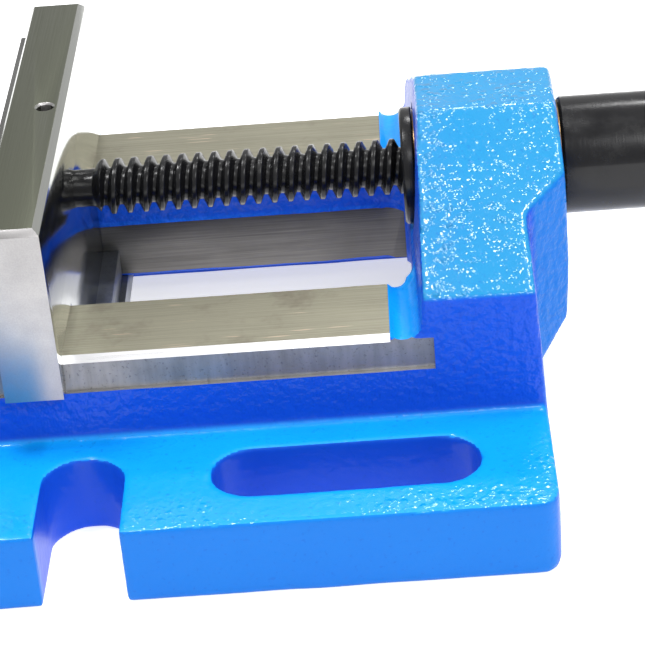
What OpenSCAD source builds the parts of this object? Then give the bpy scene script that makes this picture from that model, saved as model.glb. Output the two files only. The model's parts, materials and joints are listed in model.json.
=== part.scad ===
// Machine vise for a drill press: painted iron bed with ground ways, a sliding
// jaw on a screw that does not turn, and a nut sleeve that turns in the end boss.
// X runs along the bed towards the handle, Y across it and Z up. The origin is in
// the bed's lower face, midway between the two open slots.

/* [Bed] */
// Length of the bed
base_l = 216; // [210:1:230]
// Width over the clamping flanges
base_w = 196; // [190:1:204]
// Thickness of the clamping flanges
flange_t = 19.5; // [16:0.5:22]
// Width over the painted side walls
body_w = 119; // [118.4:0.2:122]
// Width over the machined edges of the ways
way_w = 117; // [115:0.5:118]
// Height of the ground tops of the ways
way_z = 41.2; // [38:0.2:44]
// Clear width between the ways
gap_w = 67; // [60:1:68]

/* [Clamping slots] */
// Width of the four closed slots
slot_w = 18.6; // [12:0.2:20]
// End-to-end length of the four closed slots
slot_l = 61.5; // [40:0.5:64]
// Distance of the closed slots' centres from the middle, along the bed
slot_x = 60.5; // [56:0.5:64]
// Distance of every slot's centre from the middle, across the bed
slot_y = 77.5; // [76:0.5:80]
// Width of the two open slots
open_slot_w = 19; // [14:0.5:22]

/* [Jaws] */
// Width of both jaws
jaw_w = 127; // [124:1:130]
// Height of both jaws' tops above the table
jaw_z = 77.8; // [74:0.2:84]
// Thickness of the sliding jaw
jaw_t = 13.6; // [12:0.2:16]
// Thickness of the hardened plates
plate_t = 4.5; // [3.5:0.5:6]
// Depth of the step above each plate
step_z = 9.3; // [6:0.1:12]
// Opening between the plates as drawn
opening = 32; // [28:1:34]

/* [Screw] */
// Height of the screw's axis
axis_z = 54.8; // [53:0.2:56]
// Diameter over the thread
screw_d = 13.8; // [12:0.2:14]
// Distance between threads
pitch = 4; // [4:1:5]
// Diameter of the neck and of the thread's root
root_d = 9.4; // [8:0.2:10]
// Diameter of the collar and of the handle sleeve
sleeve_d = 29; // [26:0.5:30]
// Length of the tommy bar without its knobs
bar_l = 80; // [70:1:84]

/* [Hidden] */

$fn = 64;
eps = 0.01;     // overlap that joins solids of one node
over = 1;       // how far a cutter passes a face
run = 0.07;     // radial clearance of turning and sliding fits
seat = 0.05;    // radial clearance of parts that stay put

// Bed
corner_r = 5;
chamfer = 1.5;
cast_z = way_z + 1;             // unmachined surface beside the ways
way_x0 = -70;                   // ends of the ground tops
way_x1 = 72.5;
strip_z = 32.3;                 // lower edge of the machined side strips
strip_x1 = 82.5;
gap_x0 = -66;                   // ends of the space between the ways
gap_x1 = 78.6;
gap_r = 7;
band_z0 = 10;                   // guide faces inside the ways
band_z1 = 25.5;
band_relief = 0.6;              // cast wall above the guide faces stands back
hollow_wall = 9.5;              // side wall around the hollow underside
hollow_x0 = -74;
hollow_x1 = 84;
slot_r = slot_w / 2;
open_slot_r = open_slot_w / 2;

// Boss at the handle end
boss_shoulder_z = 50.7;
boss_top_z = 74.4;
boss_top_half = 10;
boss_face_x = 82;               // machined seats of the thrust washers
hub_face_x = 115.9;
seat_r = 15.6;
hub_half = 28;                  // half width of the hub's outer face
hub_root_half = 38;             // half width where the hub leaves the boss
hub_root_x = 107;

// Jaws
jaw_x1 = -3.5;                  // sliding jaw's face towards the handle
jaw_x0 = jaw_x1 - jaw_t;
plate_x0 = jaw_x0 - plate_t;
fixed_plate_x1 = plate_x0 - opening;
fixed_x1 = fixed_plate_x1 - plate_t;
plate_z0 = way_z + 0.4;
plate_z1 = jaw_z - step_z;
skirt_z = strip_z + 1;
tongue_half = gap_w / 2 - 0.6;
plate_screw_y = 38;
plate_screw_z = (plate_z0 + plate_z1) / 2;
screw_m6 = 3;                   // radius of every M6 thread
head_m6 = 5;
plate_screw_l = 12;

// Guide block and keeper under the sliding jaw
guide_x0 = -27;
guide_x1 = 0.6;
guide_z1 = 18;
keeper_x1 = 2.2;
keeper_half = 46;
keeper_z0 = band_z0 - 6.1;
keeper_z1 = band_z0 - 0.1;
keeper_screw_y = 21;
keeper_screw_x = (jaw_x0 + jaw_x1) / 2;
keeper_screw_z1 = 34;
washer_t = 1;
head_z1 = keeper_z1 - 3.5;      // under the screws' heads
dowel_r = 2.5;
dowel_y = 29;
dowel_z0 = keeper_z1 + 2;
dowel_z1 = guide_z1 + 8;

// Screw and sleeve
screw_r = screw_d / 2;
root_r = root_d / 2;
neck_r = root_r - 0.05;
neck_x0 = jaw_x1 - 10.5;
thread_x0 = 3.1;                // first crest
thread_count = 32;
crest = 0.36 * pitch;           // width of a thread's flat top
flank = 0.16 * pitch;           // width of one sloping side
screw_x1 = thread_x0 + thread_count * pitch + 1;
pin_r = 2;
pin_x = jaw_x1 - 4.5;
pin_z0 = axis_z - 3.6;
pin_z1 = axis_z + 9;
sleeve_r = sleeve_d / 2;
collar_x0 = 77.85;
thrust_t = 0.95;
journal_r = 11;
bush_r = 13;
nut_x1 = 112;                   // end of the threaded length
spigot_x1 = 150;
relief_r = 7.7;
shoulder_x = hub_face_x + thrust_t + 0.1;
sleeve_bore_x1 = 214;
sleeve_x1 = 236;
set_screw_x = 144;
bar_x = 224;
bar_r = 4.75;
bar_half = bar_l / 2;
stud_r = 3;
stud_l = 8;
knob_r = 8;
knob_l = 13;

// A solid that is one outline all along X, drawn with Y to the right and Z up
module along_x(x0, x1) {
    translate([x0, 0, 0]) rotate([90, 0, 90]) linear_extrude(x1 - x0) children();
}

// A solid that is one outline all along Y, drawn with X to the right and Z up
module along_y(y0, y1) {
    translate([0, y1, 0]) rotate([90, 0, 0]) linear_extrude(y1 - y0) children();
}

// A turned solid on the screw's axis, drawn with distance along X first and radius second
module turned() {
    translate([0, 0, axis_z]) rotate([0, 90, 0]) rotate_extrude($fn = 96)
        mirror([0, 1, 0]) rotate(-90) children();
}

module rod_x(x0, x1, r) {
    translate([x0, 0, axis_z]) rotate([0, 90, 0]) cylinder(h = x1 - x0, r = r);
}

module at_each(points) {
    for (p = points) translate(p) children();
}

module both_sides(y) {
    for (side = [-1, 1]) translate([0, side * y, 0]) children();
}

module rounded_rect(l, w, r) {
    square([l - 2 * r, w], center = true);
    square([l, w - 2 * r], center = true);
    for (x = [-1, 1], y = [-1, 1])
        translate([x * (l / 2 - r), y * (w / 2 - r)]) circle(r);
}

// Plan of a slot with round ends
module slot_plan(l, r) {
    square([l - 2 * r, 2 * r], center = true);
    for (x = [-1, 1]) translate([x * (l / 2 - r), 0]) circle(r);
}

module box_between(a, b) {
    translate(a) cube(b - a);
}

// Cross-section of the boss: upright walls under two long slopes
module boss_section() {
    half = body_w / 2;
    polygon([
        [-half, 0], [half, 0], [half, boss_shoulder_z], [boss_top_half, boss_top_z],
        [-boss_top_half, boss_top_z], [-half, boss_shoulder_z]
    ]);
}

// Boss seen from the side, with draft on both faces
module boss_side() {
    end = base_l / 2;
    polygon([
        [78.5, 0], [end, 0], [end, flange_t], [end - 1.4, boss_shoulder_z],
        [end - 2.4, boss_top_z + 1], [82, boss_top_z + 1], [79.8, way_z + 4], [78.5, flange_t]
    ]);
}

// Hub seen from the side: it stops short of the table and tapers in below
module hub_side() {
    polygon([
        [100, 16], [108, 17], [110.2, 19.6], [115.6, 25.6], [116.5, way_z],
        [115.9, boss_top_z + 1], [100, boss_top_z + 1]
    ]);
}

module boss() {
    intersection() {
        along_x(78, base_l / 2 + 1) boss_section();
        along_y(-body_w / 2, body_w / 2) boss_side();
    }
    intersection() {
        linear_extrude(boss_top_z + 1) polygon([
            [100, -hub_root_half], [hub_root_x, -hub_root_half], [118, -hub_half + 1],
            [118, hub_half - 1], [hub_root_x, hub_root_half], [100, hub_root_half]
        ]);
        along_y(-hub_root_half, hub_root_half) hub_side();
        along_x(99, 119) boss_section();
    }
}

module fixed_jaw_block() {
    along_y(-jaw_w / 2, jaw_w / 2) polygon([
        [fixed_x1, 30], [fixed_x1, jaw_z - chamfer], [fixed_x1 - chamfer, jaw_z],
        [-73, jaw_z], [-75, jaw_z - 2], [-78, 30]
    ]);
    along_y(-46, 46) polygon([
        [-70, 12], [-70, 70], [-78, 68], [-101, 40], [-105.5, 28], [-106.5, 12]
    ]);
}

// What the milling cutter takes off beside and above one way, for Y above zero
module way_cut() {
    half = way_w / 2;
    along_x(way_x0, way_x1) polygon([
        [half, strip_z], [half + 6, strip_z], [half + 6, cast_z + over],
        [-over, cast_z + over], [-over, way_z], [half - chamfer, way_z],
        [half, way_z - chamfer]
    ]);
    box_between([way_x1 - eps, half, strip_z], [strip_x1, half + 6, way_z - 0.5]);
}

module base_casting() {
    color("dodgerblue") difference() {
        union() {
            linear_extrude(flange_t) rounded_rect(base_l, base_w, corner_r);
            box_between([-base_l / 2 + 1, -body_w / 2, 0], [100, body_w / 2, cast_z]);
            boss();
            fixed_jaw_block();
        }
        // machined ways, stopping at the fixed jaw
        difference() {
            union() {
                way_cut();
                mirror([0, 1, 0]) way_cut();
            }
            fixed_jaw_block();
        }
        // space between the ways, wider above the guide faces
        translate([(gap_x0 + gap_x1) / 2, 0, -over])
            linear_extrude(cast_z + 2 * over) rounded_rect(gap_x1 - gap_x0, gap_w, gap_r);
        translate([(gap_x0 + gap_x1) / 2, 0, band_z1]) linear_extrude(cast_z - band_z1 + over)
            rounded_rect(gap_x1 - gap_x0, gap_w + 2 * band_relief, gap_r);
        // hollow underside
        box_between([hollow_x0, -body_w / 2 + hollow_wall, -over],
            [hollow_x1, body_w / 2 - hollow_wall, band_z0]);
        // clamping slots
        at_each([for (x = [-1, 1], y = [-1, 1]) [x * slot_x, y * slot_y, -over]])
            linear_extrude(flange_t + 2 * over) slot_plan(slot_l, slot_r);
        for (side = [-1, 1]) {
            translate([0, side * slot_y, -over])
                cylinder(h = flange_t + 2 * over, r = open_slot_r);
            translate([-open_slot_r, side * slot_y - (side < 0 ? base_w / 2 : 0), -over])
                cube([open_slot_w, base_w / 2, flange_t + 2 * over]);
        }
        // bore and machined seats in the boss
        rod_x(70, 125, bush_r + 0.02);
        rod_x(75, boss_face_x, seat_r);
        rod_x(hub_face_x, 125, seat_r);
        // tapped holes behind the fixed plate
        both_sides(plate_screw_y) translate([fixed_x1 - plate_screw_l, 0, plate_screw_z])
            rotate([0, 90, 0]) cylinder(h = plate_screw_l + over, r = screw_m6 + seat);
    }
}

// Hardened plate on the YZ plane with its back at x = 0 and two countersunk holes
module jaw_plate() {
    difference() {
        box_between([0, -jaw_w / 2, plate_z0], [plate_t, jaw_w / 2, plate_z1]);
        both_sides(plate_screw_y) translate([0, 0, plate_screw_z]) rotate([0, 90, 0]) {
            translate([0, 0, -over]) cylinder(h = plate_t + 2 * over, r = screw_m6 + 0.2);
            translate([0, 0, plate_t - 3.3]) cylinder(h = 3.3 + eps, r1 = screw_m6, r2 = 6.3);
        }
    }
}

// Countersunk screw along X, its head level with x = plate_t
module plate_screw() {
    rotate([0, 90, 0]) difference() {
        union() {
            translate([0, 0, 1 - plate_screw_l]) cylinder(h = plate_screw_l + 1, r = screw_m6);
            translate([0, 0, plate_t - 3.2]) cylinder(h = 3, r1 = screw_m6, r2 = 5.9);
        }
        translate([0, 0, plate_t - 2.2]) cylinder(h = 3, r = 2.3, $fn = 6);
    }
}

module fixed_jaw_plate() {
    color("silver") translate([fixed_x1, 0, 0]) jaw_plate();
}

module fixed_jaw_screws() {
    color("dimgray") both_sides(plate_screw_y)
        translate([fixed_x1, 0, plate_screw_z]) plate_screw();
}

module boss_bush() {
    color("goldenrod") difference() {
        rod_x(boss_face_x + 0.2, hub_face_x - 0.2, bush_r);
        rod_x(boss_face_x, hub_face_x, journal_r);
    }
}

// Cross-section of the sliding jaw: a block on the ways, a skirt outside each way
// and a tongue between them
module jaw_section() {
    half = jaw_w / 2;
    skirt = way_w / 2 + 0.1;
    seat_z = way_z + 0.05;
    right = [
        [tongue_half, guide_z1], [tongue_half, seat_z], [skirt - chamfer, seat_z],
        [skirt, seat_z - chamfer], [skirt, skirt_z], [half, skirt_z],
        [half, jaw_z - chamfer], [half - chamfer, jaw_z]
    ];
    left = [for (i = [len(right) - 1 : -1 : 0]) [-right[i][0], right[i][1]]];
    polygon(concat(right, left));
}

module moving_jaw() {
    color("darkgray") difference() {
        intersection() {
            along_x(jaw_x0, jaw_x1) jaw_section();
            along_y(-jaw_w / 2, jaw_w / 2) polygon([
                [jaw_x0, 0], [jaw_x1, 0], [jaw_x1, jaw_z - chamfer],
                [jaw_x1 - chamfer, jaw_z], [jaw_x0 + 0.5, jaw_z], [jaw_x0, jaw_z - 0.5]
            ]);
        }
        rod_x(neck_x0 - 0.5, 0, neck_r + seat);
        translate([pin_x, 0, pin_z0]) cylinder(h = jaw_z, r = pin_r);
        translate([pin_x, 0, jaw_z - 0.5]) cylinder(h = 1, r1 = pin_r - 0.03, r2 = pin_r + 0.97);
        both_sides(plate_screw_y) translate([jaw_x0 - over, 0, plate_screw_z])
            rotate([0, 90, 0]) cylinder(h = plate_screw_l + over, r = screw_m6 + seat);
        both_sides(keeper_screw_y) translate([keeper_screw_x, 0, 0])
            cylinder(h = keeper_screw_z1 + 2, r = screw_m6 + seat);
        both_sides(dowel_y) translate([keeper_screw_x, 0, 0])
            cylinder(h = dowel_z1 + 1, r = dowel_r + seat);
    }
}

module moving_jaw_plate() {
    color("silver") translate([jaw_x0, 0, 0]) mirror([1, 0, 0]) jaw_plate();
}

module moving_jaw_screws() {
    color("dimgray") both_sides(plate_screw_y)
        translate([jaw_x0, 0, plate_screw_z]) mirror([1, 0, 0]) plate_screw();
}

module guide_block() {
    half = gap_w / 2 - 0.1;
    color("gray") difference() {
        box_between([guide_x0, -half, keeper_z1], [guide_x1, half, guide_z1]);
        both_sides(keeper_screw_y) translate([keeper_screw_x, 0, 0])
            cylinder(h = guide_z1 + over, r = screw_m6 + 0.3);
        both_sides(dowel_y) translate([keeper_screw_x, 0, dowel_z0])
            cylinder(h = guide_z1, r = dowel_r + seat);
    }
}

module keeper_plate() {
    color("slategray") difference() {
        box_between([guide_x0, -keeper_half, keeper_z0], [keeper_x1, keeper_half, keeper_z1]);
        both_sides(keeper_screw_y) translate([keeper_screw_x, 0, 0]) {
            cylinder(h = keeper_z1 + over, r = screw_m6 + 0.3);
            cylinder(h = head_z1 + washer_t, r = head_m6 + 0.8);
        }
    }
}

module keeper_screws() {
    color("dimgray") both_sides(keeper_screw_y) translate([keeper_screw_x, 0, 0])
        difference() {
            union() {
                translate([0, 0, head_z1]) cylinder(h = keeper_screw_z1 - head_z1, r = screw_m6);
                translate([0, 0, head_z1 - 3.8]) cylinder(h = 3.8, r = head_m6);
            }
            translate([0, 0, head_z1 - 4.8]) cylinder(h = 3, r = 2.9, $fn = 6);
        }
}

module keeper_washers() {
    color("silver") both_sides(keeper_screw_y)
        translate([keeper_screw_x, 0, head_z1]) difference() {
            cylinder(h = washer_t, r = head_m6 + 0.5);
            translate([0, 0, -over]) cylinder(h = washer_t + 2 * over, r = screw_m6 + 0.2);
        }
}

module guide_dowels() {
    color("lightgray") both_sides(dowel_y) translate([keeper_screw_x, 0, dowel_z0])
        cylinder(h = dowel_z1 - dowel_z0, r = dowel_r);
}

// Half-section of one thread that starts at x = c - half its width
function thread_at(c) = [
    [c - crest / 2 - flank, root_r], [c - crest / 2, screw_r],
    [c + crest / 2, screw_r], [c + crest / 2 + flank, root_r]
];

module spindle() {
    threads = [for (i = [0 : thread_count - 1]) each thread_at(thread_x0 + i * pitch)];
    color("dimgray") difference() {
        turned() polygon(concat(
            [[neck_x0, 0], [neck_x0, neck_r - 0.5], [neck_x0 + 0.5, neck_r],
             [thread_x0 - crest / 2 - flank - 0.6, neck_r]],
            threads,
            [[screw_x1 - 1, root_r], [screw_x1, root_r - 1], [screw_x1, 0]]
        ));
        translate([pin_x, 0, pin_z0]) cylinder(h = 20, r = pin_r);
    }
}

module spindle_pin() {
    color("lightgray") translate([pin_x, 0, pin_z0 + 0.2])
        cylinder(h = pin_z1 - pin_z0, r = pin_r - seat);
}

module nut_sleeve() {
    color("darkslategray") turned() polygon([
        [collar_x0, screw_r + run + 0.5], [collar_x0, sleeve_r - 0.6],
        [collar_x0 + 0.6, sleeve_r], [boss_face_x - thrust_t - 0.4, sleeve_r],
        [boss_face_x - thrust_t - 0.1, sleeve_r - 0.3],
        [boss_face_x - thrust_t - 0.1, journal_r - run], [spigot_x1 - 1, journal_r - run],
        [spigot_x1, journal_r - run - 1], [spigot_x1, relief_r], [nut_x1 + 0.8, relief_r],
        [nut_x1, screw_r + run], [collar_x0 + 0.5, screw_r + run]
    ]);
}

module thrust_washer(x) {
    difference() {
        rod_x(x, x + thrust_t - 0.05, sleeve_r - 0.7);
        rod_x(x - over, x + thrust_t + over, journal_r + 0.1);
    }
}

module inner_thrust_washer() {
    color("goldenrod") thrust_washer(boss_face_x - thrust_t);
}

module outer_thrust_washer() {
    color("goldenrod") thrust_washer(hub_face_x + 0.05);
}

module set_screw_places() {
    for (a = [90, 180]) translate([set_screw_x, 0, axis_z]) rotate([a, 0, 0]) children();
}

module handle_sleeve() {
    color("darkslategray") difference() {
        turned() polygon([
            [shoulder_x, journal_r], [shoulder_x, sleeve_r - 0.6],
            [shoulder_x + 0.6, sleeve_r], [sleeve_x1 - 2, sleeve_r], [sleeve_x1, sleeve_r - 2],
            [sleeve_x1, 0], [sleeve_bore_x1 + 2, 0], [sleeve_bore_x1, relief_r],
            [spigot_x1 + 0.2, relief_r], [spigot_x1 + 0.2, journal_r]
        ]);
        translate([bar_x, sleeve_r + over, axis_z]) rotate([90, 0, 0])
            cylinder(h = 2 * (sleeve_r + over), r = bar_r + run);
        set_screw_places() cylinder(h = sleeve_r + over, r = screw_m6 + seat);
    }
}

module sleeve_set_screws() {
    color("black") set_screw_places() difference() {
        translate([0, 0, journal_r + 0.1]) cylinder(h = sleeve_r - journal_r - 0.6, r = screw_m6);
        translate([0, 0, sleeve_r - 2]) cylinder(h = 3, r = 1.7, $fn = 6);
    }
}

// Places its child on the bar's axis, pointing along +Y
module on_bar(side) {
    translate([bar_x, 0, axis_z]) rotate([-90 * side, 0, 0]) children();
}

module tommy_bar() {
    color("silver") {
        on_bar(1) translate([0, 0, -bar_half]) cylinder(h = bar_l, r = bar_r);
        for (side = [-1, 1]) on_bar(side)
            translate([0, 0, bar_half - eps]) cylinder(h = stud_l, r = stud_r);
    }
}

// Round knob screwed on to one end of the bar
module knob(side) {
    centre = bar_half + knob_l / 2;
    on_bar(side) difference() {
        intersection() {
            translate([0, 0, centre]) sphere(knob_r);
            translate([0, 0, bar_half]) cylinder(h = knob_l, r = knob_r);
        }
        cylinder(h = bar_half + stud_l + 0.3, r = stud_r + seat);
    }
}

module front_knob() {
    color("black") knob(-1);
}

module rear_knob() {
    color("black") knob(1);
}

base_casting();
fixed_jaw_plate();
fixed_jaw_screws();
boss_bush();
moving_jaw();
moving_jaw_plate();
moving_jaw_screws();
guide_block();
keeper_plate();
keeper_screws();
keeper_washers();
guide_dowels();
spindle();
spindle_pin();
nut_sleeve();
inner_thrust_washer();
outer_thrust_washer();
handle_sleeve();
sleeve_set_screws();
tommy_bar();
front_knob();
rear_knob();
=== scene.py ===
import json
import math

import bmesh
import bpy
import numpy as np
from mathutils import Matrix, Vector


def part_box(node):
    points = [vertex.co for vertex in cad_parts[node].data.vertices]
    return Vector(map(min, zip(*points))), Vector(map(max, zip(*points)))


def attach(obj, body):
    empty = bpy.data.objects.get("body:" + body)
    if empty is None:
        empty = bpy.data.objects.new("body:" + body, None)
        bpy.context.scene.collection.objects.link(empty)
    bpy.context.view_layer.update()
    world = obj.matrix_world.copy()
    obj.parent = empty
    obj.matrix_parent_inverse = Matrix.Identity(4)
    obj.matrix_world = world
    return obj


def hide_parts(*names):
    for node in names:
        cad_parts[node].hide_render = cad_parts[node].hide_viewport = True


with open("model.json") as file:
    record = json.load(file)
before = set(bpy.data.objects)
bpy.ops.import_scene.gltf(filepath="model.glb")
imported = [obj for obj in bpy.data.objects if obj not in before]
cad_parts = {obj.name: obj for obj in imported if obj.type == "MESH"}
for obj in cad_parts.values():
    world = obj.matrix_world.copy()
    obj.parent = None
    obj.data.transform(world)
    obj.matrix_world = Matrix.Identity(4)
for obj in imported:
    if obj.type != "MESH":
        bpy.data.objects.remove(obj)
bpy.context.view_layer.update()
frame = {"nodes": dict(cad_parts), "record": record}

MM = 0.001
record = frame["record"]
body_of = {n: b for b, names in record["behaviour"]["bodies"].items() for n in names}


# ---------------------------------------------------------------- camera
# A long lens a little over half a metre from the screw, looking across the bed
# and down on it, rolled a few degrees.
SENSOR_MM = 36
LENS_MM = 136.5
SHIFT = (-0.0817, -0.0127)
CLIP = (0.01, 20)
CAMERA_MM = Vector((78.57, -539.82, 333.57))
AZIMUTH, PITCH, ROLL = (math.radians(a) for a in (-1.083, 30.73, -4.497))


def make_camera():
    data = bpy.data.cameras.new("camera")
    data.lens = LENS_MM
    data.sensor_width = SENSOR_MM
    data.shift_x, data.shift_y = SHIFT
    data.clip_start, data.clip_end = CLIP
    data.dof.use_dof = False
    forward = Vector((
        math.sin(AZIMUTH) * math.cos(PITCH), math.cos(AZIMUTH) * math.cos(PITCH), -math.sin(PITCH)
    ))
    level = Vector((math.cos(AZIMUTH), -math.sin(AZIMUTH), 0))
    up = level.cross(forward)
    right = level * math.cos(ROLL) + up * math.sin(ROLL)
    top = up * math.cos(ROLL) - level * math.sin(ROLL)
    camera = bpy.data.objects.new("camera", data)
    camera.matrix_world = Matrix.Translation(CAMERA_MM * MM) @ Matrix(
        (right, top, -forward)
    ).transposed().to_4x4()
    bpy.context.scene.collection.objects.link(camera)
    bpy.context.scene.camera = camera


make_camera()


# ---------------------------------------------------------------- node materials
class Graph:
    """A small helper that adds nodes to one material and links them."""

    def __init__(self, name):
        self.material = bpy.data.materials.new(name)
        self.material.use_nodes = True
        self.tree = self.material.node_tree
        self.shader = self.tree.nodes["Principled BSDF"]
        self.place = self.tree.nodes.new("ShaderNodeTexCoord").outputs["Object"]
        self.normal = self.tree.nodes.new("ShaderNodeNewGeometry").outputs["Normal"]

    def feed(self, socket, value):
        if isinstance(value, bpy.types.NodeSocket):
            self.tree.links.new(value, socket)
        elif isinstance(value, (tuple, list)) and len(value) == 3 and socket.type == "RGBA":
            socket.default_value = (*value, 1)
        else:
            socket.default_value = value

    def math(self, operation, a, b=0.0, clamp=False):
        n = self.tree.nodes.new("ShaderNodeMath")
        n.operation, n.use_clamp = operation, clamp
        self.feed(n.inputs[0], a)
        self.feed(n.inputs[1], b)
        return n.outputs[0]

    def noise(self, scale, detail=2.0, rough=0.5, place=None):
        n = self.tree.nodes.new("ShaderNodeTexNoise")
        self.feed(n.inputs["Vector"], place or self.place)
        n.inputs["Scale"].default_value = scale
        n.inputs["Detail"].default_value = detail
        n.inputs["Roughness"].default_value = rough
        return n.outputs["Fac"]

    def streaks(self, across, along, letter, detail=2.0, rough=0.5):
        """Noise with one scale along the lettered axis and another across it."""
        n = self.tree.nodes.new("ShaderNodeMapping")
        self.feed(n.inputs["Vector"], self.place)
        n.inputs["Scale"].default_value = [along if axis == letter else across for axis in "XYZ"]
        return self.noise(1.0, detail, rough, n.outputs[0])

    def drops(self, scale):
        """Round drops: 1 in the middle of each and 0 between them."""
        n = self.tree.nodes.new("ShaderNodeTexVoronoi")
        n.feature = "SMOOTH_F1"
        self.feed(n.inputs["Vector"], self.place)
        n.inputs["Scale"].default_value = scale
        n.inputs["Smoothness"].default_value = 0.1
        return self.remap(n.outputs["Distance"], 0.05, 0.48, 1.0, 0.0, smooth=True)

    def remap(self, value, low, high, to_low=0.0, to_high=1.0, smooth=False):
        n = self.tree.nodes.new("ShaderNodeMapRange")
        n.interpolation_type = "SMOOTHSTEP" if smooth else "LINEAR"
        self.feed(n.inputs["Value"], value)
        for name, v in (("From Min", low), ("From Max", high), ("To Min", to_low), ("To Max", to_high)):
            self.feed(n.inputs[name], v)
        return n.outputs["Result"]

    def mix(self, share, a, b):
        n = self.tree.nodes.new("ShaderNodeMix")
        n.data_type = "RGBA"
        self.feed(n.inputs[0], share)
        self.feed(n.inputs[6], a)
        self.feed(n.inputs[7], b)
        return n.outputs[2]

    def split(self, vector):
        """The vector's x, y and z."""
        n = self.tree.nodes.new("ShaderNodeSeparateXYZ")
        self.feed(n.inputs[0], vector)
        return n.outputs

    def bump(self, height, strength, distance, after=None):
        n = self.tree.nodes.new("ShaderNodeBump")
        self.feed(n.inputs["Height"], height)
        self.feed(n.inputs["Strength"], strength)
        n.inputs["Distance"].default_value = distance
        if after is not None:
            self.feed(n.inputs["Normal"], after)
        return n.outputs["Normal"]

    def finish(self, **sockets):
        for name, value in sockets.items():
            self.feed(self.shader.inputs[name.replace("_", " ")], value)
        return self.material


# One blue paint in lit and shaded copies: painted light on the flange tops and the boss's roof, painted
# shade on the flange rims and deepest painted shade on the side walls. CLOUD_BLUE and PIT_BLUE are the
# paint's own tone.
WALL_SHADED_BLUE = (0.007, 0.078, 0.60)
RIM_SHADED_BLUE = (0.004, 0.165, 0.60)
FLANGE_LIT_BLUE = (0.003, 0.345, 0.90)
ROOF_LIT_BLUE = (0.002, 0.25, 0.52)
CLOUD_BLUE = (0.003, 0.10, 0.55)
PIT_BLUE = (0.003, 0.07, 0.42)


def paint_colour(g, x, across, z, facing, cloud):
    """One blue paint with painted light and shade: pale where lit on the flange tops, deeper on the rims
    and the boss, deepest in painted shade on the side walls.
    """
    rim = g.math("MAXIMUM", g.remap(across, 0.0935, 0.0965), g.remap(x, 0.1070, 0.1085))
    # painted shade on faces that look sideways: deepest on the walls, paler on the flange rims
    side = g.mix(rim, WALL_SHADED_BLUE, RIM_SHADED_BLUE)
    lit_flat = g.mix(g.remap(z, 0.044, 0.050), FLANGE_LIT_BLUE, ROOF_LIT_BLUE)
    # painted light on faces that look up, painted shade on faces that look sideways
    colour = g.mix(facing, side, lit_flat)
    colour = g.mix(g.math("MULTIPLY", cloud, 0.18), colour, CLOUD_BLUE)
    pits = g.remap(g.noise(900), 0.62, 0.72, 0.0, 0.25)
    return g.mix(pits, colour, PIT_BLUE)


def paint_beads(g, x, across, z, facing):
    """How thickly beads of paint stand on a place: most at the boss's inner edge."""
    patches = g.noise(34)
    on_boss = g.math("MULTIPLY", g.remap(z, 0.046, 0.052, smooth=True), facing)
    inner_edge = g.remap(x, 0.094, 0.084, 0.30, 1.0, smooth=True)
    spread = g.math("ADD", inner_edge, g.remap(patches, 0.35, 0.65, 0.0, 0.5))
    boss = g.math("MULTIPLY", on_boss, spread)
    outer_edge = g.math("MAXIMUM", g.remap(across, 0.084, 0.093), g.remap(x, 0.094, 0.104))
    flange = g.math("MULTIPLY", g.math("MULTIPLY", outer_edge, facing), g.remap(patches, 0.40, 0.60))
    return g.math("MAXIMUM", boss, g.math("MULTIPLY", flange, 0.6), True)


def paint_relief(g, z, facing, beads):
    """The normal over beads of two sizes and, most of all on the walls, orange peel."""
    picked = g.remap(g.noise(260, 1), 0.38, 0.50)
    large = g.math("MULTIPLY", g.drops(380), picked)
    height = g.math("ADD", large, g.math("MULTIPLY", g.drops(700), 0.35))
    normal = g.bump(height, beads, 0.00042)
    on_wall = g.math("MULTIPLY", g.remap(z, 0.020, 0.026), g.math("SUBTRACT", 1.0, facing))
    return g.bump(g.noise(420), g.remap(on_wall, 0.0, 1.0, 0.12, 0.9), 0.0011, normal)


def paint():
    """Glossy azure enamel over a rough casting, with painted light and shade: paler where it lies flat,
    deep in painted shade on the side walls, with round beads of paint standing out on the boss and along
    the flanges' edges."""
    g = Graph("azure_enamel")
    x, y, z = g.split(g.place)
    across = g.math("ABSOLUTE", y)
    facing = g.remap(g.split(g.normal)[2], 0.25, 0.85, smooth=True)
    cloud = g.remap(g.noise(22, 3, 0.55), 0.3, 0.7)
    beads = paint_beads(g, x, across, z, facing)
    normal = paint_relief(g, z, facing, beads)
    coat = g.math("ADD", g.remap(facing, 0.0, 1.0, 0.08, 0.22), g.math("MULTIPLY", beads, 0.7), True)
    return g.finish(
        Base_Color=paint_colour(g, x, across, z, facing, cloud),
        Roughness=g.remap(cloud, 0.0, 1.0, 0.34, 0.26), Normal=normal,
        Specular_IOR_Level=g.remap(facing, 0.0, 1.0, 0.12, 0.18),
        Coat_Weight=coat, Coat_Roughness=0.07, Coat_IOR=1.6, Coat_Normal=normal,
    )


def dimmed(tint, share):
    return tuple(c * share for c in tint)


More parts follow.
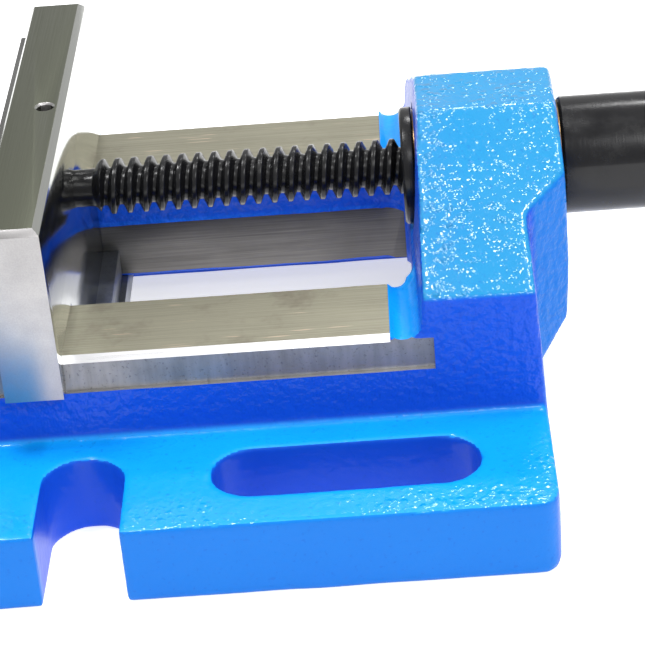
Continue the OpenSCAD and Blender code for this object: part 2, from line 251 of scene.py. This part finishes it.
def ground(name, tint, along, roughness=0.30, dark=0.72, streak=0.35, scuffed=False):
    """Ground steel with fine scratches along one axis and faint wider bands."""
    g = Graph(name)
    scratches = g.streaks(2600.0, 34.0, along, 3, 0.6)
    bands = g.streaks(240.0, 7.0, along)
    cloud = g.noise(45, 4, 0.6)
    value = g.math("ADD", g.math("MULTIPLY", scratches, 0.55), g.math("MULTIPLY", bands, 0.30))
    value = g.math("ADD", value, g.math("MULTIPLY", cloud, 0.25))
    colour = g.mix(g.remap(value, 0.40, 0.70), dimmed(tint, dark), tint)
    if scuffed:
        marks = g.remap(g.streaks(900.0, 60.0, "X"), 0.66, 0.72, 0.0, 0.7)
        colour = g.mix(marks, colour, (0.85, 0.68, 0.52))
        grime = g.remap(g.noise(70, 4, 0.7), 0.55, 0.75, 0.0, 0.5)
        colour = g.mix(grime, colour, (0.16, 0.13, 0.10))
    rough = g.remap(value, 0.35, 0.75, roughness + 0.10, roughness - 0.08)
    normal = g.bump(scratches, streak, 0.00006)
    return g.finish(Base_Color=colour, Metallic=1.0, Roughness=rough, Normal=normal)


def milled(name, tint, roughness=0.42):
    """Milled steel or iron: overlapping cutter arcs and small dark pores."""
    g = Graph(name)
    arcs = g.streaks(420.0, 60.0, "Z", 3, 0.6)
    pores = g.math("MULTIPLY", g.remap(g.noise(1500, 2, 0.6), 0.60, 0.72), 0.6)
    cloud = g.noise(60, 4, 0.65)
    blend = g.math("ADD", g.math("MULTIPLY", arcs, 0.5), g.math("MULTIPLY", cloud, 0.5))
    colour = g.mix(g.remap(blend, 0.35, 0.68), dimmed(tint, 0.62), tint)
    return g.finish(
        Base_Color=g.mix(pores, colour, dimmed(tint, 0.25)), Metallic=0.9,
        Roughness=g.remap(cloud, 0.3, 0.7, roughness + 0.08, roughness - 0.08),
        Normal=g.bump(g.math("SUBTRACT", arcs, pores), 0.35, 0.00012),
    )


def blackened(name, along="X", roughness=0.21):
    """Oil-blackened turned steel: near black, with fine turning lines and paler rubbed patches."""
    g = Graph(name)
    turning = g.streaks(60.0, 3200.0, along, 2, 0.6)
    cloud = g.noise(140, 4, 0.65)
    worn = g.remap(cloud, 0.58, 0.76, 0.0, 0.35)
    normal = g.bump(cloud, 0.12, 0.0004, g.bump(turning, 0.30, 0.00005))
    return g.finish(
        Base_Color=g.mix(worn, (0.006, 0.006, 0.007), (0.035, 0.034, 0.033)), Metallic=0.0,
        Roughness=g.remap(cloud, 0.3, 0.7, roughness - 0.06, roughness + 0.10), Normal=normal,
        Specular_IOR_Level=0.34,
    )


def bronze():
    """Turned bronze, brown and a little patchy."""
    g = Graph("turned_bronze")
    turning = g.streaks(120.0, 2400.0, "X", 2, 0.6)
    cloud = g.noise(90, 4, 0.6)
    colour = g.mix(g.remap(cloud, 0.35, 0.7), (0.10, 0.064, 0.032), (0.24, 0.155, 0.075))
    return g.finish(
        Base_Color=colour, Metallic=1.0, Roughness=g.remap(cloud, 0.3, 0.7, 0.24, 0.42),
        Normal=g.bump(turning, 0.3, 0.00006),
    )


def knob_black():
    """Polished black plastic with faint scuffs."""
    g = Graph("polished_black_plastic")
    scuffs = g.streaks(900.0, 260.0, "Y", 3, 0.6)
    tone = g.remap(g.noise(70, 3), 0.3, 0.7)
    return g.finish(
        Base_Color=g.mix(tone, (0.008, 0.008, 0.009), (0.020, 0.020, 0.022)),
        Roughness=g.remap(scuffs, 0.35, 0.75, 0.10, 0.26),
        Normal=g.bump(scuffs, 0.08, 0.00008), Coat_Weight=0.4, Coat_Roughness=0.06,
    )


FLOOR_GLOW = 0.66


def lit_floor():
    """A translucent white table lit evenly from below."""
    g = Graph("lit_white_table")
    tone = g.mix(g.noise(3, 2), (0.86, 0.86, 0.86), (0.90, 0.90, 0.90))
    return g.finish(
        Base_Color=tone, Roughness=0.7, Normal=g.bump(g.noise(400, 2), 0.02, 0.0003),
        Emission_Color=tone, Emission_Strength=FLOOR_GLOW,
    )


PAINT = paint()
WAY_TOP = ground("ground_way_top", (0.47, 0.45, 0.345), "X", 0.36, 0.62, scuffed=True)
CHAMFER = ground("ground_chamfer", (0.93, 0.93, 0.95), "X", 0.30, 0.86, 0.2)
STRIP = milled("milled_side_strip", (0.30, 0.295, 0.295))
BAND = ground("milled_guide_face", (0.155, 0.148, 0.142), "X", 0.36, 0.62)
# painted shade: the jaw's top is the same ground steel as its sides, given a far darker tint
JAW_TOP = ground("ground_jaw_top_painted_shade", (0.165, 0.174, 0.132), "Y", 0.38, 0.80)
JAW_SIDE = ground("ground_jaw_side", (0.40, 0.39, 0.39), "Y", 0.36, 0.86, 0.25)
JAW_FACE = ground("ground_jaw_face", (0.52, 0.53, 0.50), "Y", 0.13, 0.90, 0.10)
PLATE = ground("ground_plate", (0.20, 0.20, 0.19), "Y", 0.28, 0.80)
GUIDE = milled("milled_guide_steel", (0.30, 0.32, 0.33), 0.36)
BLACK = blackened("blackened_steel")
BLACK_BOLT = blackened("blackened_bolt", "Z", 0.36)
BRONZE = bronze()
BRIGHT = ground("drawn_bright_steel", (0.60, 0.60, 0.60), "Y", 0.20, 0.85, 0.2)
KNOB = knob_black()


# ---------------------------------------------------------------- mesh helpers
def link(name, mesh):
    piece = bpy.data.objects.new(name, mesh)
    bpy.context.scene.collection.objects.link(piece)
    return piece


def clean_copy(node, flatten=True):
    """The CAD node's mesh with its split vertices joined and, if asked, its flat faces made whole."""
    mesh = frame["nodes"][node].data.copy()
    mesh.materials.clear()
    b = bmesh.new()
    b.from_mesh(mesh)
    bmesh.ops.remove_doubles(b, verts=b.verts, dist=1e-6)
    if flatten:
        bmesh.ops.dissolve_limit(
            b, angle_limit=math.radians(0.5), verts=b.verts, edges=b.edges, delimit=set()
        )
    b.to_mesh(mesh)
    b.free()
    for name in ("custom_normal", "sharp_face", "sharp_edge"):
        if name in mesh.attributes:
            mesh.attributes.remove(mesh.attributes[name])
    return mesh


def apply_all(piece):
    """Bakes the piece's modifiers into its mesh."""
    graph = bpy.context.evaluated_depsgraph_get()
    graph.update()
    mesh = bpy.data.meshes.new_from_object(piece.evaluated_get(graph))
    piece.modifiers.clear()
    old = piece.data
    piece.data = mesh
    bpy.data.meshes.remove(old)


def shade(piece, degrees):
    """Smooth shading that keeps edges sharper than the angle."""
    mesh = piece.data
    mesh.polygons.foreach_set("use_smooth", [True] * len(mesh.polygons))
    mesh.set_sharp_from_angle(angle=math.radians(degrees))
    mesh.update()


def loft(name, rings):
    """A closed solid through rings of points in mm, with as many points in every ring."""
    b = bmesh.new()
    rings = [[b.verts.new(Vector(point) * MM) for point in ring] for ring in rings]
    for a, c in zip(rings, rings[1:]):
        for i in range(len(a)):
            j = (i + 1) % len(a)
            b.faces.new((a[i], a[j], c[j], c[i]))
    b.faces.new(reversed(rings[0]))
    b.faces.new(rings[-1])
    bmesh.ops.recalc_face_normals(b, faces=b.faces)
    mesh = bpy.data.meshes.new(name)
    b.to_mesh(mesh)
    b.free()
    return link(name, mesh)


def prism_x(name, outline, low, high):
    """A closed solid: a (y, z) outline in mm, extruded along X."""
    return loft(name, [[(at, y, z) for y, z in outline] for at in (low, high)])


def prism_y(name, outline, low, high):
    """A closed solid: an (x, z) outline in mm, extruded along Y."""
    return loft(name, [[(x, at, z) for x, z in outline] for at in (low, high)])


def rect(a0, a1, b0, b1):
    return [(a0, b0), (a1, b0), (a1, b1), (a0, b1)]


def disc(centre_z, radius, count=96):
    step = math.tau / count
    return [(radius * math.cos(i * step), centre_z + radius * math.sin(i * step)) for i in range(count)]


def boolean(piece, others, operation):
    for other in others:
        m = piece.modifiers.new(operation, "BOOLEAN")
        m.operation, m.solver, m.object = operation, "MANIFOLD", other
    apply_all(piece)
    for other in others:
        bpy.data.objects.remove(other)


def give(piece, node, *materials):
    """Puts the piece in its CAD node's place: same body, with the node hidden."""
    piece.data.materials.clear()
    for material in materials:
        piece.data.materials.append(material)
    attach(piece, body_of[node])
    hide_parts(node)


def refined(node, bevel_mm, *materials, angle=28):
    """A copy of a CAD node with its sharp edges broken, in the node's own place."""
    piece = link(node + "_finished", clean_copy(node))
    m = piece.modifiers.new("edges", "BEVEL")
    m.width, m.segments = bevel_mm * MM, 2
    m.limit_method, m.angle_limit = "ANGLE", math.radians(angle)
    apply_all(piece)
    shade(piece, 35)
    give(piece, node, *materials)
    return piece


# ---------------------------------------------------------------- the casting
def node_mm(node):
    low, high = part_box(node)
    return low / MM, high / MM


bush_low, bush_high = node_mm("boss_bush")
AXIS_Z = (bush_low.z + bush_high.z) / 2
WAY_Z = 41.2                    # top of the ways
WAY_HALF = 58.5                 # half width over the ways
WAY_X = (-58.1, 72.5)
WALL_HALF = 59.5                # half width over the painted walls
GAP_HALF = 33.5                 # half width of the gap between the ways
STRIP_Z = 32.3                  # foot of the milled strip down each way's side
STRIP_X1 = 82.5
CHAMFER_MM = 1.5
BAND_Z = (10.0, 25.5)           # foot and top of the milled faces in the gap
BORE_R = 13.02
SEAT_R = 15.6                   # spot faces at both ends of the bore
SEATS_X = (82.0, 115.9)
JAW_TOP_Z = node_mm("base_casting")[1].z
JAW_HALF = 63.5
JAW_BACK_X = -73.4
HOLLOW_X = (-73.5, 83.5)        # the space under the bed
HOLLOW_HALF = 49.5
# side view of the hollow in the cast skin between each way and the boss
VALLEY = [(72.5, 45), (72.9, 41.1), (74.2, 40.3), (76.0, 40.1), (77.6, 40.7), (78.8, 42.4), (79.4, 45)]

STOCK_Z = 30.5                  # foot of the stock along the ways
SPARE_MM = 0.4                  # skin left below, for the cutters to take off
VOXEL_MM = 0.8
SMOOTHING = 11
REACH = 8                       # how far a cutter stands clear of the side that it cuts
SIDES = (-1, 1)


def bars(name, inner, outer, z, x):
    """Two boxes along X, one on each side of the bed, between two distances from its middle."""
    return [prism_x(name, rect(*sorted((side * inner, side * outer)), *z), *x) for side in SIDES]


def stock():
    """Metal over the faces that are machined, so that each cutter meets a whole skin."""
    way_z = (STOCK_Z, WAY_Z + 1)
    jaw_y = JAW_HALF - 0.3
    way_x = (WAY_X[0] - 1, WAY_X[1] + 1)
    strip_x = (WAY_X[1] - 0.5, STRIP_X1 + 0.5)
    jaw_top = rect(JAW_BACK_X, WAY_X[0] - 0.3, JAW_TOP_Z - 3, JAW_TOP_Z + 0.8)
    jaw_face = rect(WAY_X[0] - 2, WAY_X[0] + 0.7, WAY_Z, JAW_TOP_Z - 0.6)
    return [
        prism_x("bore_stock", disc(AXIS_Z, SEAT_R - 0.05), SEATS_X[0] - 0.8, SEATS_X[1] + 0.05),
        *bars("way_stock", GAP_HALF + 0.9, WALL_HALF, way_z, way_x),
        *bars("strip_stock", WAY_HALF - 2.5, WALL_HALF, way_z, strip_x),
        *bars("band_stock", GAP_HALF - 0.35, GAP_HALF + 2.5, BAND_Z, (-64, 71)),
        prism_y("jaw_top_stock", jaw_top, -jaw_y, jaw_y),
        prism_y("jaw_face_stock", jaw_face, -jaw_y, jaw_y),
    ]


def as_cast():
    """The casting before machining, its edges rounded and its skin rough."""
    piece = link("base_casting_finished", clean_copy("base_casting", flatten=False))
    boolean(piece, stock(), "UNION")
    across = [sorted((side * 32, side * (WALL_HALF + 1))) for side in SIDES]
    boolean(piece, [prism_y("valley_cutter", VALLEY, *ys) for ys in across], "DIFFERENCE")
    m = piece.modifiers.new("skin", "REMESH")
    m.mode, m.voxel_size, m.adaptivity = "VOXEL", VOXEL_MM * MM, 0
    m = piece.modifiers.new("round", "SMOOTH")
    m.factor, m.iterations = 0.5, SMOOTHING
    apply_all(piece)
    roughen(piece.data)
    return piece


def ramp(values, low, high):
    """A smooth step from 0 at low to 1 at high."""
    t = np.clip((values - low) / (high - low), 0, 1)
    return t * t * (3 - 2 * t)


def lattice_noise(points, scale, seed):
    """Smooth value noise from -1 to 1 at each row of points."""
    size = 64
    table = np.random.default_rng(seed).uniform(-1, 1, (size, size, size))
    at = points * scale + 1000.0
    cell = np.floor(at).astype(int)
    t = ramp(at - cell, 0, 1)
    total = np.zeros(len(points))
    for corner in np.ndindex(2, 2, 2):
        share = np.prod(np.where(np.array(corner) == 1, t, 1 - t), axis=1)
        i, j, k = ((cell + corner) % size).T
        total += share * table[i, j, k]
    return total


def roughen(mesh):
    """Moves the skin in and out: most on the boss, gently elsewhere, and leaves spare skin below."""
    count = len(mesh.vertices)
    places, normals = np.empty(count * 3), np.empty(count * 3)
    mesh.vertices.foreach_get("co", places)
    mesh.vertex_normals.foreach_get("vector", normals)
    places, normals = places.reshape(-1, 3), normals.reshape(-1, 3)
    mm = places / MM
    x, y, z = mm.T
    up = normals[:, 2]
    boss = ramp(z, 46, 52) * ramp(up, 0.3, 0.8)
    inner_edge = ramp(x, 92, 84) * boss
    flange_edge = ramp(np.abs(y), 86, 95) * ramp(up, 0.5, 0.9)
    lumps = lattice_noise(mm, 0.62, 1) + 0.5 * lattice_noise(mm, 1.1, 2)
    waves = lattice_noise(mm, 0.09, 3)
    lump_mm = 0.025 + 0.04 * boss + 0.05 * inner_edge + 0.03 * flange_edge
    places += normals * (lump_mm * lumps + 0.15 * waves)[:, None] * MM
    foot = ramp(z, 1.5, 0.5)
    ceiling = ramp(np.abs(z - BAND_Z[0]), 1.0, 0.5)
    places[:, 2] -= SPARE_MM * MM * ramp(-up, 0.7, 0.95) * np.maximum(foot, ceiling)
    mesh.vertices.foreach_set("co", places.ravel())
    mesh.update()


def way_outline(side):
    """End view of the cutter for one way: its top, its chamfer and the strip down its side."""
    inner, outer, top = 30, WAY_HALF + REACH, WAY_Z + 6
    outline = [
        (inner, top), (inner, WAY_Z), (WAY_HALF - CHAMFER_MM, WAY_Z), (WAY_HALF, WAY_Z - CHAMFER_MM),
        (WAY_HALF, STRIP_Z), (outer, STRIP_Z), (outer, top),
    ]
    return [(side * y, z) for y, z in outline]


def machine(piece):
    """Cuts the machined faces into the rough casting."""
    strip_z, strip_x = (STRIP_Z, WAY_Z - 0.5), (WAY_X[1] - 0.5, STRIP_X1)
    band = rect(-GAP_HALF, GAP_HALF, *BAND_Z)
    seat = disc(AXIS_Z, SEAT_R)
    hollow = rect(*HOLLOW_X, -2, BAND_Z[0])
    jaw_face = rect(WAY_X[0], WAY_X[0] + 6, WAY_Z, JAW_TOP_Z + 5)
    jaw_top = rect(-90, -50, JAW_TOP_Z, JAW_TOP_Z + 6)
    cutters = [
        *(prism_x("way_cutter", way_outline(side), *WAY_X) for side in SIDES),
        *bars("strip_cutter", WAY_HALF, WAY_HALF + REACH, strip_z, strip_x),
        prism_x("band_cutter", band, WAY_X[0] - 7.5, WAY_X[1] + 5),
        prism_x("bore_cutter", disc(AXIS_Z, BORE_R), 60, 130),
        prism_x("inner_seat_cutter", seat, 70, SEATS_X[0]),
        prism_x("outer_seat_cutter", seat, SEATS_X[1], 125),
        prism_y("hollow_cutter", hollow, -HOLLOW_HALF, HOLLOW_HALF),
        prism_y("foot_cutter", rect(-130, 130, -8, 0), -110, 110),
        prism_y("jaw_face_cutter", jaw_face, -70, 70),
        prism_y("jaw_top_cutter", jaw_top, -70, 70),
    ]
    boolean(piece, cutters, "DIFFERENCE")


CAST_MATERIALS = (PAINT, WAY_TOP, CHAMFER, STRIP, BAND, JAW_FACE)
AS_PAINT, AS_WAY, AS_CHAMFER, AS_STRIP, AS_BAND, AS_JAW = range(len(CAST_MATERIALS))
NEAR_MM = 0.02
SQUARE = 0.99                   # a normal this far along an axis faces along it


def near(value, *places):
    return min(abs(value - place) for place in places) < NEAR_MM


def machined_kind(c, n):
    """Which of CAST_MATERIALS a face takes, from its centre in mm and its normal."""
    out = abs(c.y)
    radius = math.hypot(c.y, c.z - AXIS_Z)
    faces_up, faces_out, faces_along = n.z > SQUARE, abs(n.y) > SQUARE, abs(n.x) > SQUARE
    before_boss = c.x < WAY_X[1] + NEAR_MM
    if faces_up and near(c.z, WAY_Z) and c.x > WAY_X[0] and before_boss:
        return AS_WAY
    if faces_up and near(c.z, JAW_TOP_Z):
        return AS_WAY
    if faces_up and near(c.z, STRIP_Z) and out > WAY_HALF - NEAR_MM:
        return AS_CHAMFER
    if faces_out and near(out, WAY_HALF) and c.z > STRIP_Z - NEAR_MM:
        return AS_STRIP
    if faces_out and near(out, GAP_HALF) and BAND_Z[0] < c.z < BAND_Z[1]:
        return AS_BAND
    if n.z < -SQUARE and near(c.z, 0, BAND_Z[0]):
        return AS_STRIP
    if faces_along and near(c.x, WAY_X[0]) and c.z > WAY_Z - NEAR_MM:
        return AS_JAW
    if faces_along and near(c.x, *SEATS_X) and radius < SEAT_R + NEAR_MM:
        return AS_BAND
    if radius < BORE_R + 0.08 and SEATS_X[0] - 1 < c.x < SEATS_X[1] + 1:
        return AS_BAND
    sloping = n.z > 0.5 and abs(n.y) > 0.5 and before_boss
    if sloping and c.z > WAY_Z - CHAMFER_MM - NEAR_MM and near(out + c.z, WAY_HALF + WAY_Z - CHAMFER_MM):
        return AS_CHAMFER
    return AS_PAINT


def casting():
    piece = as_cast()
    machine(piece)
    give(piece, "base_casting", *CAST_MATERIALS)
    faces = piece.data.polygons
    faces.foreach_set("material_index", [machined_kind(p.center / MM, p.normal) for p in faces])
    shade(piece, 32)


# ---------------------------------------------------------------- the screw
PITCH_MM = 4.0
FIRST_CREST = 3.1
CREST_SIDE = math.radians(121)  # way that the first crest faces: near and up, from +Y towards +Z
SCREW_R = 6.9
ROOT_R = 4.7
CREST_FLAT, FLANK = 0.30, 0.24  # in turns
EDGE_FALL, EDGE_TURNS = 0.12, 0.05
RING_POINTS = 72
RING_STEP = 0.16


def screw_profile(phase):
    """Radius at phases of -0.5 to 0.5 turns from the middle of a crest."""
    past_crest = np.abs(phase) - CREST_FLAT / 2
    crest = SCREW_R - EDGE_FALL * ramp(past_crest, -EDGE_TURNS, 0)
    flank = SCREW_R - EDGE_FALL - (SCREW_R - EDGE_FALL - ROOT_R) * past_crest / FLANK
    return np.where(past_crest <= 0, crest, np.maximum(flank, ROOT_R))


def screw_ring(x, start, ends):
    """One ring of points: thread that runs in from its start and out before the far end."""
    angles = math.tau * np.arange(RING_POINTS) / RING_POINTS
    turn = (x - FIRST_CREST) / PITCH_MM + (angles - CREST_SIDE) / math.tau
    run_in = ROOT_R + (SCREW_R - ROOT_R) * ramp(x, start, start + 3.0)
    run_out = ROOT_R + max(0, (ends[1] - x) * 1.2 - 0.6)
    r = np.minimum(screw_profile((turn + 0.5) % 1 - 0.5), min(run_in, run_out))
    if x < start:
        r = np.full(RING_POINTS, ROOT_R - 0.05)
    if x in ends:
        r = np.full(RING_POINTS, ROOT_R - 0.9)
    return [(x, y, z) for y, z in zip(r * np.cos(angles), AXIS_Z + r * np.sin(angles))]


def screw():
    """The screw with a true left-hand thread, made of rings a sixth of a millimetre apart."""
    low, high = node_mm("spindle")
    ends = (low.x, high.x)
    start = FIRST_CREST - 2.2
    count = int((high.x - start) / RING_STEP)
    threaded = [start + i * RING_STEP for i in range(count)]
    xs = [low.x, low.x + 0.5, start - 0.7, *threaded, high.x]
    piece = loft("spindle_thread", [screw_ring(x, start, ends) for x in xs])
    shade(piece, 38)
    give(piece, "spindle", BLACK)


# ---------------------------------------------------------------- the other pieces
def jaw():
    """The sliding jaw: top, faces and skirts in ground steel; the top's darker tint is painted shade."""
    piece = refined("moving_jaw", 0.12, JAW_SIDE, JAW_TOP, JAW_FACE)
    for p in piece.data.polygons:
        # painted shade: faces that look up at the top take the darker copy of the ground steel
        if p.normal.z > 0.9 and p.center.z > 0.07:
            p.material_index = 1
        elif abs(p.normal.x) > 0.6:
            p.material_index = 2


def everything():
    casting()
    screw()
    jaw()
    for node in ("moving_jaw_plate", "fixed_jaw_plate"):
        refined(node, 0.15, PLATE)
    for node in ("fixed_jaw_screws", "moving_jaw_screws", "keeper_screws", "sleeve_set_screws"):
        refined(node, 0.12, BLACK_BOLT)
    refined("guide_block", 0.25, GUIDE)
    refined("keeper_plate", 0.3, GUIDE)
    for node in ("boss_bush", "inner_thrust_washer", "outer_thrust_washer"):
        refined(node, 0.08, BRONZE)
    for node in ("nut_sleeve", "handle_sleeve"):
        refined(node, 0.15, BLACK, angle=20)
    for node in ("keeper_washers", "guide_dowels", "spindle_pin", "tommy_bar"):
        refined(node, 0.1, BRIGHT)
    for node in ("front_knob", "rear_knob"):
        refined(node, 0.15, KNOB)


everything()


# ---------------------------------------------------------------- floor and light
FLOOR_HALF = 4
FLOOR_Z = -0.0001
WORLD_LIGHT = 0.66


def floor():
    mesh = bpy.data.meshes.new("floor")
    corners = rect(-FLOOR_HALF, FLOOR_HALF, -FLOOR_HALF, FLOOR_HALF)
    mesh.from_pydata([(x, y, 0) for x, y in corners], [], [(0, 1, 2, 3)])
    piece = link("floor", mesh)
    piece.location.z = FLOOR_Z
    piece.data.materials.append(lit_floor())


def softbox(name, place, aim, size, power):
    data = bpy.data.lights.new(name, "AREA")
    data.shape, data.size, data.size_y = "RECTANGLE", *size
    data.energy = power
    light = bpy.data.objects.new(name, data)
    light.location = place
    light.rotation_euler = (Vector(aim) - Vector(place)).to_track_quat("-Z", "Y").to_euler()
    bpy.context.scene.collection.objects.link(light)


def studio():
    """White surroundings and four softboxes: two overhead, one in front, one behind."""
    world = bpy.data.worlds.new("studio")
    world.use_nodes = True
    background = world.node_tree.nodes["Background"]
    background.inputs["Color"].default_value = (1, 1, 1, 1)
    background.inputs["Strength"].default_value = WORLD_LIGHT
    bpy.context.scene.world = world
    softbox("key", (-0.26, 0.0, 1.05), (0.05, 0, 0), (0.18, 0.24), 5.5)
    softbox("top", (0.46, 0.02, 1.05), (0.1, 0, 0), (0.40, 0.14), 4.5)
    softbox("front", (0.35, -0.8, 0.95), (0.06, 0, 0.04), (0.5, 0.34), 4.5)
    softbox("back", (0.25, 0.85, 1.05), (0.05, 0, 0.02), (0.30, 0.12), 3)


floor()
studio()
bpy.context.scene.view_settings.view_transform = "Standard"
